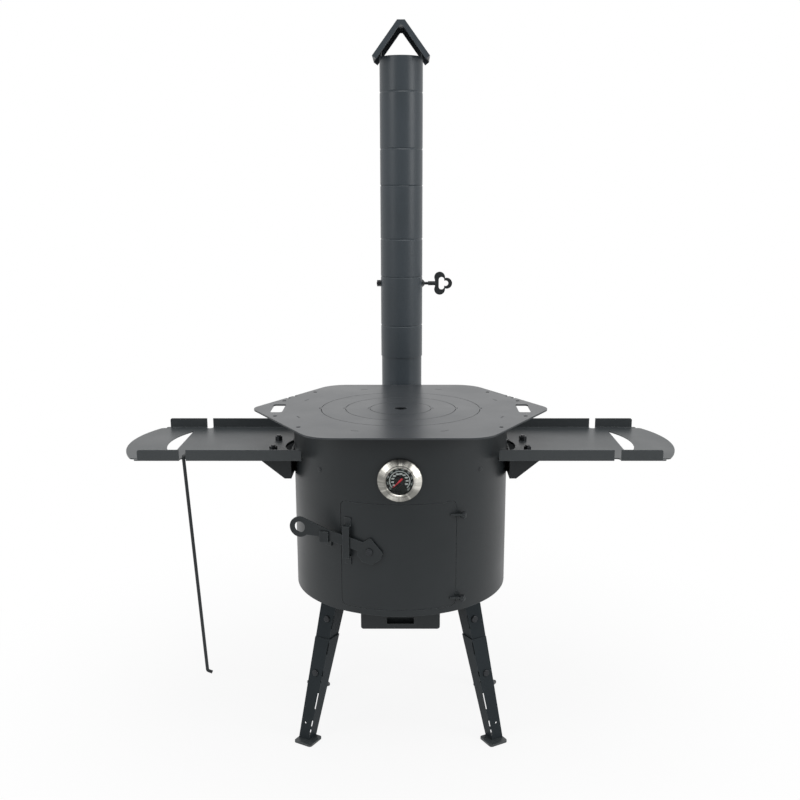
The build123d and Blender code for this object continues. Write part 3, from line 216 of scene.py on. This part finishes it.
def ink(name):
    look = inkLooks[name]
    material, tree = newMaterial(name)
    place = addNode(tree, "ShaderNodeTexCoord").outputs["Object"]
    grain = addNode(tree, "ShaderNodeTexNoise", {"Vector": place, "Scale": 1 / look["grain"]})
    tone = addNode(tree, "ShaderNodeMix", {0: grain.outputs["Fac"], 6: linear(look["colour"]),
                                           7: linear(look["pale"])}, data_type="RGBA")
    paint = addNode(tree, "ShaderNodeBsdfPrincipled", {"Base Color": tone.outputs[2],
                                                       "Roughness": look["roughness"],
                                                       "Specular IOR Level": inkGloss})
    addNode(tree, "ShaderNodeOutputMaterial", {"Surface": paint.outputs[0]})
    return material


# Float glass, 1.6 mm, with a coat against glare: clear, with only a faint sharp reflection.
glassLook = {"colour": "f4f8f7", "roughness": 0.02, "ior": 1.15}


def floatGlass(name):
    material, tree = newMaterial(name)
    glass = addNode(tree, "ShaderNodeBsdfPrincipled", {"Base Color": linear(glassLook["colour"]),
                                                       "Roughness": glassLook["roughness"],
                                                       "IOR": glassLook["ior"], "Transmission Weight": 1.0})
    addNode(tree, "ShaderNodeOutputMaterial", {"Surface": glass.outputs[0]})
    return material


gaugeCentre = middle("thermometer_bezel")
mattCoat = powderCoat("powderCoatMatt", coatLooks["matt"])
materials = {
    "coated_steel": mattCoat,
    "poker": mattCoat,
    "chimney_steel": powderCoat("powderCoatChimney", coatLooks["chimney"]),
    "plate_steel": powderCoat("powderCoatPlate", coatLooks["plate"]),
    "inner_steel": powderCoat("sootedSteel", coatLooks["inside"]),
    "bright_steel": turnedSteel("turnedStainless", gaugeCentre),
    "fasteners": blackZinc("blackZinc"),
    "dial": ink("dialEnamel"),
    "needle": ink("needleRed"),
    "glass": floatGlass("floatGlass"),
}
whiteInk = ink("whiteInk")
greyInk = ink("greyInk")
# The trays' coat: glossier than the matt coat, and paler as painted light for the light on the tray lips.
trayCoat = powderCoat("powderCoatTrayPaintedLight", coatLooks["tray"])
legCoat = powderCoat("powderCoatLegs", coatLooks["legs"])
slotOf = {row["node"]: row["material_slot"] for row in frame["record"]["subparts"]}
# Pieces whose coat is a little glossier or duller than the rest of their slot. The trays' coat is also paler,
# painted light for the light their lips catch.
ownCoat = {"side_tray_left": trayCoat, "side_tray_right": trayCoat, "foot_plates": trayCoat,
           # the door stop frame takes the matt coat so the seam round the door shows less dark: painted light
           # in the seam
           "door_stop_frame": mattCoat}
ownCoat.update({name: legCoat for name in nodes if name.startswith(("leg_upper", "leg_lower"))})
for name, steel in nodes.items():
    steel.data.materials.clear()
    steel.data.materials.append(ownCoat.get(name, materials[slotOf[name]]))
print("materials:", len(bpy.data.materials))


def newTree(name, sizes):
    # an empty geometry tree with named size inputs
    tree = bpy.data.node_groups.new(name, "GeometryNodeTree")
    tree.interface.new_socket("Geometry", in_out="INPUT", socket_type="NodeSocketGeometry")
    for label, value in sizes.items():
        kind = "NodeSocketInt" if isinstance(value, int) else "NodeSocketFloat"
        tree.interface.new_socket(label, in_out="INPUT", socket_type=kind).default_value = value
    tree.interface.new_socket("Geometry", in_out="OUTPUT", socket_type="NodeSocketGeometry")
    return tree, addNode(tree, "NodeGroupInput").outputs


def finishTree(tree, geometry, material):
    real = addNode(tree, "GeometryNodeRealizeInstances", {"Geometry": geometry})
    dressed = addNode(tree, "GeometryNodeSetMaterial", {"Geometry": real.outputs[0], "Material": material})
    addNode(tree, "NodeGroupOutput", {"Geometry": dressed.outputs[0]})
    return tree


def growPiece(name, tree, body, slotName, lines=((), ()), **sizes):
    # runs a tree on loose lines and keeps the result as a plain mesh that rides on a body
    seed = bpy.data.meshes.new(name + "Seed")
    seed.from_pydata(list(lines[0]), list(lines[1]), [])
    grower = bpy.data.objects.new(name + "Seed", seed)
    bpy.context.scene.collection.objects.link(grower)
    modifier = grower.modifiers.new("grow", "NODES")
    modifier.node_group = tree
    for item in tree.interface.items_tree:
        if item.in_out == "INPUT" and item.name in sizes:
            modifier[item.identifier] = sizes[item.name]
    bpy.context.view_layer.update()
    graph = bpy.context.evaluated_depsgraph_get()
    mesh = bpy.data.meshes.new_from_object(grower.evaluated_get(graph))
    bpy.data.objects.remove(grower)
    piece = bpy.data.objects.new(name, mesh)
    bpy.context.scene.collection.objects.link(piece)
    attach(piece, body)
    return piece


# The thermometer's printed scale: two rings of numbers, and ticks between them.
printDepth = 0.08 * mm
printProud = 0.05 * mm    # how far the middle of the print stands off the dial
printBold = 0.12 * mm     # how far the strokes of the numbers are fattened
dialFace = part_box("thermometer_dial")[0].y - printProud
dialTicks = {"radius": 17.2 * mm, "length": 1.7 * mm, "width": 0.7 * mm,
             "count": 61, "start": 219.0, "sweep": 261.0}
dialNumbers = {
    "dialOuterNumbers": {"radius": 20.7 * mm, "size": 3.3 * mm, "start": 219.0, "step": 29.0, "count": 10,
                         "unit": 100, "upright": False, "ink": greyInk},
    "dialInnerNumbers": {"radius": 12.6 * mm, "size": 3.5 * mm, "start": 215.0, "step": 26.7, "count": 10,
                         "unit": 50, "upright": True, "ink": whiteInk},
}


def tickTree(material):
    tree, size = newTree("dialTicks", {"Radius": 1.0, "Length": 1.0, "Width": 1.0, "Depth": 1.0,
                                       "Start": 0.0, "Sweep": 1.0, "Count": 2})
    row = addNode(tree, "GeometryNodeMeshLine", {"Count": size["Count"]})
    order = addNode(tree, "GeometryNodeInputIndex").outputs[0]
    last = addNode(tree, "ShaderNodeMath", {0: size["Count"], 1: 1.0}, operation="SUBTRACT").outputs[0]
    share = addNode(tree, "ShaderNodeMath", {0: order, 1: last}, operation="DIVIDE").outputs[0]
    back = addNode(tree, "ShaderNodeMath", {0: share, 1: size["Sweep"]}, operation="MULTIPLY").outputs[0]
    angle = addNode(tree, "ShaderNodeMath", {0: size["Start"], 1: back}, operation="SUBTRACT").outputs[0]
    across = addNode(tree, "ShaderNodeMath", {0: angle}, operation="COSINE").outputs[0]
    up = addNode(tree, "ShaderNodeMath", {0: angle}, operation="SINE").outputs[0]
    aim = addNode(tree, "ShaderNodeCombineXYZ", {"X": across, "Z": up}).outputs[0]
    place = addNode(tree, "ShaderNodeVectorMath", {0: aim, "Scale": size["Radius"]},
                    operation="SCALE").outputs[0]
    placed = addNode(tree, "GeometryNodeSetPosition", {"Geometry": row.outputs[0], "Position": place})
    box = addNode(tree, "ShaderNodeCombineXYZ", {"X": size["Width"], "Y": size["Depth"], "Z": size["Length"]})
    tick = addNode(tree, "GeometryNodeMeshCube", {"Size": box.outputs[0]})
    turn = addNode(tree, "FunctionNodeAlignRotationToVector", {"Vector": aim}, axis="Z")
    every = addNode(tree, "GeometryNodeInstanceOnPoints", {"Points": placed.outputs[0],
                                                           "Instance": tick.outputs["Mesh"],
                                                           "Rotation": turn.outputs[0]})
    return finishTree(tree, every.outputs[0], material)


def numberRing(name, ring):
    # numbers as flat text, made a mesh before they take their places on the dial
    verts, faces = [], []
    for i in range(ring["count"]):
        curve = bpy.data.curves.new(name, "FONT")
        curve.body = str(ring["unit"] * (i + 1))
        curve.size = ring["size"]
        curve.align_x, curve.align_y = "CENTER", "CENTER"
        curve.offset = printBold
        curve.extrude = printDepth / 2
        text = bpy.data.objects.new(name, curve)
        bpy.context.scene.collection.objects.link(text)
        bpy.context.view_layer.update()
        flat = bpy.data.meshes.new_from_object(text.evaluated_get(bpy.context.evaluated_depsgraph_get()))
        angle = math.radians(ring["start"] - ring["step"] * i)
        spin = 0.0 if ring["upright"] else angle - math.pi / 2
        base = len(verts)
        for v in flat.vertices:
            x = v.co.x * math.cos(spin) - v.co.y * math.sin(spin) + ring["radius"] * math.cos(angle)
            z = v.co.x * math.sin(spin) + v.co.y * math.cos(spin) + ring["radius"] * math.sin(angle)
            verts.append((gaugeCentre.x + x, dialFace - v.co.z, gaugeCentre.z + z))
        faces.extend([[base + corner for corner in face.vertices] for face in flat.polygons])
        bpy.data.objects.remove(text)
    mesh = bpy.data.meshes.new(name)
    mesh.from_pydata(verts, [], faces)
    mesh.materials.append(ring["ink"])
    piece = bpy.data.objects.new(name, mesh)
    bpy.context.scene.collection.objects.link(piece)
    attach(piece, "stove")


def printDial():
    ticks = growPiece("dialTicks", tickTree(whiteInk), "stove", "dial",
                      Radius=dialTicks["radius"], Length=dialTicks["length"], Width=dialTicks["width"],
                      Depth=printDepth, Start=math.radians(dialTicks["start"]),
                      Sweep=math.radians(dialTicks["sweep"]), Count=dialTicks["count"])
    for v in ticks.data.vertices:
        v.co += Vector((gaugeCentre.x, dialFace, gaugeCentre.z))
    for name, ring in dialNumbers.items():
        numberRing(name, ring)


printDial()
print("dial printed")


# MIG weld beads: overlapping scales, coated over with the rest.
bead = {"radius": 1.9 * mm, "pitch": 1.3 * mm, "flat": 0.75, "uneven": (0.85, 1.12), "seed": 7,
        "bracketHalf": 14 * mm, "bracketShelf": 3 * mm, "ductInset": 3 * mm, "ductSteps": 16,
        "flangeRise": 1 * mm, "flangeSteps": 36}


def beadTree(material):
    tree, size = newTree("weldBead", {"Radius": 1.0, "Pitch": 1.0, "Flat": 1.0, "Least": 1.0, "Most": 1.0,
                                      "Seed": bead["seed"]})
    start = tree.nodes["Group Input"].outputs["Geometry"]
    curve = addNode(tree, "GeometryNodeMeshToCurve", {"Mesh": start})
    steps = addNode(tree, "GeometryNodeResampleCurve", {"Curve": curve.outputs[0], "Length": size["Pitch"]},
                    mode="LENGTH")
    along = addNode(tree, "GeometryNodeInputTangent").outputs[0]
    turn = addNode(tree, "FunctionNodeAlignRotationToVector", {"Vector": along}, axis="Z")
    scale = addNode(tree, "ShaderNodeCombineXYZ", {"X": 1.0, "Y": 1.0, "Z": size["Flat"]})
    drop = addNode(tree, "GeometryNodeMeshIcoSphere", {"Radius": size["Radius"], "Subdivisions": 2})
    squashed = addNode(tree, "GeometryNodeTransform", {"Geometry": drop.outputs["Mesh"],
                                                       "Scale": scale.outputs[0]})
    uneven = addNode(tree, "FunctionNodeRandomValue", {2: size["Least"], 3: size["Most"], "Seed": size["Seed"]},
                     data_type="FLOAT")
    every = addNode(tree, "GeometryNodeInstanceOnPoints", {"Points": steps.outputs[0],
                                                           "Instance": squashed.outputs[0],
                                                           "Rotation": turn.outputs[0],
                                                           "Scale": uneven.outputs[1]})
    smooth = addNode(tree, "GeometryNodeSetShadeSmooth", {"Geometry": every.outputs[0]})
    return finishTree(tree, smooth.outputs[0], material)


def joinedLines(paths):
    verts, edges = [], []
    for path in paths:
        base = len(verts)
        verts.extend(path)
        edges.extend([(base + i, base + i + 1) for i in range(len(path) - 1)])
    return verts, edges


def weldBeads():
    barrelLow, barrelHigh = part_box("barrel_shell")
    radius = (barrelHigh.x - barrelLow.x) / 2
    axisY = (barrelLow.y + barrelHigh.y) / 2
    paths = []
    for side in ("left", "right"):
        low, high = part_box("tray_bracket_" + side)
        x = radius if side == "right" else -radius
        for z in (low.z, high.z - bead["bracketShelf"]):   # the back plate touches the barrel in one line
            paths.append([(x, axisY - bead["bracketHalf"], z), (x, axisY + bead["bracketHalf"], z)])
    low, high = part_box("flue_duct")
    for x in (low.x, high.x):
        y = axisY + math.sqrt(radius ** 2 - x ** 2)
        paths.append([(x, y, low.z + bead["ductInset"]), (x, y, high.z - bead["ductInset"])])
    steps = bead["ductSteps"]
    for z in (low.z, high.z):
        xs = [low.x + (high.x - low.x) * i / steps for i in range(steps + 1)]
        paths.append([(x, axisY + math.sqrt(radius ** 2 - x ** 2), z) for x in xs])
    low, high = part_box("flue_spigot")
    flange = (high.x - low.x) / 2
    centre = (low + high) / 2
    turns = [math.radians(360 / bead["flangeSteps"] * i) for i in range(bead["flangeSteps"] + 1)]
    paths.append([(centre.x + flange * math.cos(a), centre.y + flange * math.sin(a), low.z + bead["flangeRise"])
                  for a in turns])
    growPiece("weldBeads", beadTree(mattCoat), "stove", "coated_steel", joinedLines(paths),
              Radius=bead["radius"], Pitch=bead["pitch"], Flat=bead["flat"], Least=bead["uneven"][0],
              Most=bead["uneven"][1])


weldBeads()
print("weld beads laid")


# A plain pale floor that runs into a white surround, and soft lamps above and on both sides. Reflections
# see the front side dimmer, as in a studio whose white walls stand beside and behind the object.
studio = {
    "floor": "d2d2d2", "floorDull": 0.8, "floorSize": 30.0, "floorShare": 0.88,
    "fadeFrom": 0.35, "fadeTo": 1.1,       # the distance over which the floor turns white
    "frontFrom": -0.5, "frontTo": -1.4,    # the depth over which the white floor leaves the reflections
    "frontShare": 0.3, "frontTurn": (-0.9, 0.1), "surround": 0.75,    # the front's share in reflections
}
lamps = {
    "overhead": {"place": (0.3, -0.6, 3.6), "aim": (0.0, 0.0, 0.6), "size": 2.6, "power": 50},
    "leftWindow": {"place": (-2.8, -2.2, 1.9), "aim": (0.0, 0.0, 0.6), "size": 1.8, "power": 28},
    "rightWindow": {"place": (3.0, -1.6, 1.6), "aim": (0.0, 0.0, 0.6), "size": 1.6, "power": 36},
}


def backdropRays(tree):
    # the rays that see white around the stove: those from the camera or through glass, and reflections
    path = addNode(tree, "ShaderNodeLightPath").outputs
    seen = addNode(tree, "ShaderNodeMath", {0: path["Is Camera Ray"], 1: path["Is Transmission Ray"]},
                   operation="MAXIMUM")
    return seen.outputs[0], path["Is Glossy Ray"]


def whiteSurround():
    world = bpy.data.worlds.new("surround")
    bpy.context.scene.world = world
    world.use_nodes = True
    tree = world.node_tree
    tree.nodes.clear()
    aim = addNode(tree, "ShaderNodeSeparateXYZ", {0: addNode(tree, "ShaderNodeTexCoord").outputs["Generated"]})
    shade = addNode(tree, "ShaderNodeMapRange", {"Value": aim.outputs["Y"], "From Min": studio["frontTurn"][0],
                                                 "From Max": studio["frontTurn"][1],
                                                 "To Min": studio["frontShare"], "To Max": 1.0},
                    interpolation_type="SMOOTHSTEP").outputs["Result"]
    seen, mirrored = backdropRays(tree)
    soft = addNode(tree, "ShaderNodeMix", {0: mirrored, 2: studio["surround"], 3: shade}).outputs[0]
    level = addNode(tree, "ShaderNodeMix", {0: seen, 2: soft, 3: 1.0}).outputs[0]
    surround = addNode(tree, "ShaderNodeBackground", {"Color": linear("ffffff"), "Strength": level})
    addNode(tree, "ShaderNodeOutputWorld", {"Surface": surround.outputs[0]})


def paleFloor():
    half = studio["floorSize"] / 2
    mesh = bpy.data.meshes.new("floor")
    corners = [(-half, -half, 0), (half, -half, 0), (half, half, 0), (-half, half, 0)]
    mesh.from_pydata(corners, [], [(0, 1, 2, 3)])
    floor = bpy.data.objects.new("floor", mesh)
    bpy.context.scene.collection.objects.link(floor)
    material, tree = newMaterial("paleFloor")
    place = addNode(tree, "ShaderNodeTexCoord").outputs["Object"]
    reach = addNode(tree, "ShaderNodeVectorMath", {0: place}, operation="LENGTH")
    fade = addNode(tree, "ShaderNodeMapRange", {"Value": reach.outputs["Value"], "From Min": studio["fadeFrom"],
                                                "From Max": studio["fadeTo"]}, interpolation_type="SMOOTHSTEP")
    matt = addNode(tree, "ShaderNodeBsdfPrincipled", {"Base Color": linear(studio["floor"]),
                                                      "Roughness": studio["floorDull"]})
    white = addNode(tree, "ShaderNodeEmission", {"Strength": 1.0})
    near = addNode(tree, "ShaderNodeMapRange", {"Value": fade.outputs["Result"],
                                                "To Min": studio["floorShare"]})
    depth = addNode(tree, "ShaderNodeSeparateXYZ", {0: place}).outputs["Y"]
    front = addNode(tree, "ShaderNodeMapRange", {"Value": depth, "From Min": studio["frontTo"],
                                                 "From Max": studio["frontFrom"], "To Min": 0.0, "To Max": 1.0})
    seen, mirrored = backdropRays(tree)
    gloss = addNode(tree, "ShaderNodeMath", {0: mirrored, 1: front.outputs["Result"]}, operation="MULTIPLY")
    shows = addNode(tree, "ShaderNodeMath", {0: seen, 1: gloss.outputs[0]}, operation="MAXIMUM")
    share = addNode(tree, "ShaderNodeMath", {0: near.outputs["Result"], 1: shows.outputs[0]},
                    operation="MULTIPLY")
    both = addNode(tree, "ShaderNodeMixShader", {0: share.outputs[0], 1: matt.outputs[0], 2: white.outputs[0]})
    addNode(tree, "ShaderNodeOutputMaterial", {"Surface": both.outputs[0]})
    mesh.materials.append(material)


def hangLamps():
    for name, lamp in lamps.items():
        light = bpy.data.lights.new(name, "AREA")
        light.shape = "DISK"
        light.size = lamp["size"]
        light.energy = lamp["power"]
        holder = bpy.data.objects.new(name, light)
        bpy.context.scene.collection.objects.link(holder)
        holder.location = lamp["place"]
        aim = Vector(lamp["aim"]) - Vector(lamp["place"])
        holder.rotation_euler = aim.to_track_quat("-Z", "Y").to_euler()


view = {"place": (0.0161, -1.8626, 1.0146), "pitch": 0.24, "lens": 44.317, "sensor": 36.0,
        "shiftX": -0.0115, "shiftY": 0.0459}


def setCamera():
    camera = bpy.data.cameras.new("camera")
    camera.lens = view["lens"]
    camera.sensor_width = view["sensor"]
    camera.shift_x = view["shiftX"]
    camera.shift_y = view["shiftY"]
    holder = bpy.data.objects.new("camera", camera)
    bpy.context.scene.collection.objects.link(holder)
    holder.location = view["place"]
    holder.rotation_euler = (math.pi / 2 - view["pitch"], 0.0, 0.0)
    bpy.context.scene.camera = holder


whiteSurround()
paleFloor()
hangLamps()
setCamera()
bpy.context.scene.view_settings.view_transform = "Standard"
print("light and camera set")
